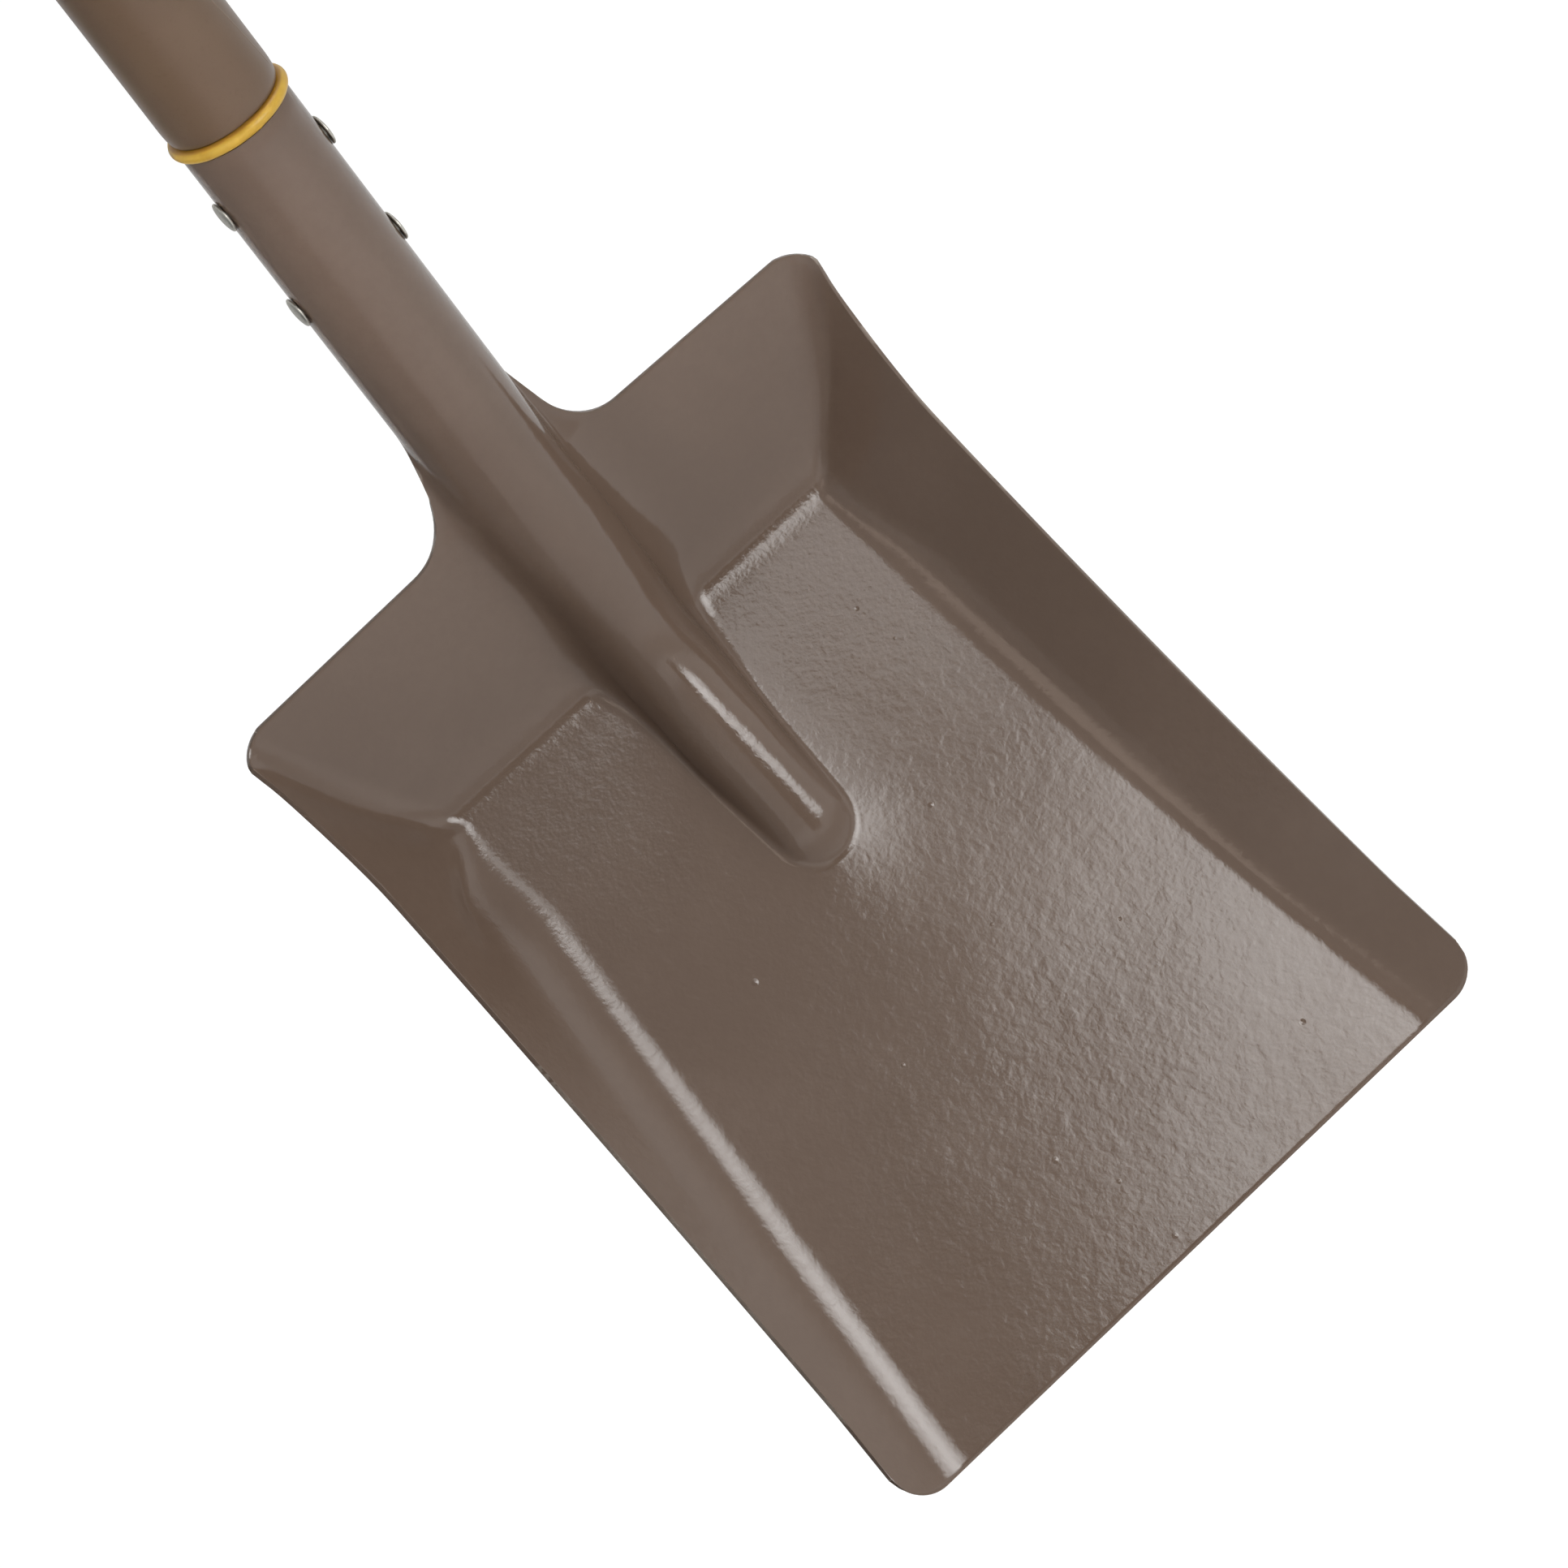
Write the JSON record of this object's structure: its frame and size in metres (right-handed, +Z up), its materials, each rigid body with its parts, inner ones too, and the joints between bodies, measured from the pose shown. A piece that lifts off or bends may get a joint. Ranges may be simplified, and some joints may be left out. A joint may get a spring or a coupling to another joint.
{
  "type": "square shovel",
  "caption": "Square-mouth shovel: pressed steel pan with a raised rib and a rolled socket, sleeved tubular shaft, coloured collar ring and moulded D-grip, for shifting loose material.",
  "frame": {"origin": "under the middle of the grip's crossbar, in the D-grip's opening, where a hook or a hand holds the shovel", "axes": "+Z up along the shaft from the pan to the grip, +X across the pan and the crossbar, -Y towards the side that the pan faces"},
  "size_m": [0.246, 0.1827, 0.998],
  "materials": {
    "taupe_enamel": "gloss",
    "olive_taupe_plastic": "satin",
    "mustard_plastic": "satin",
    "bare_steel": "satin"
  },
  "bodies": {
    "root": {"head": "taupe_enamel", "shaft_core": "bare_steel", "sleeve": "olive_taupe_plastic", "collar_ring": "mustard_plastic", "rivet_upper": "bare_steel", "rivet_lower": "bare_steel", "grip_body": "olive_taupe_plastic", "grip_rivet": "bare_steel"}
  },
  "joints": []
}
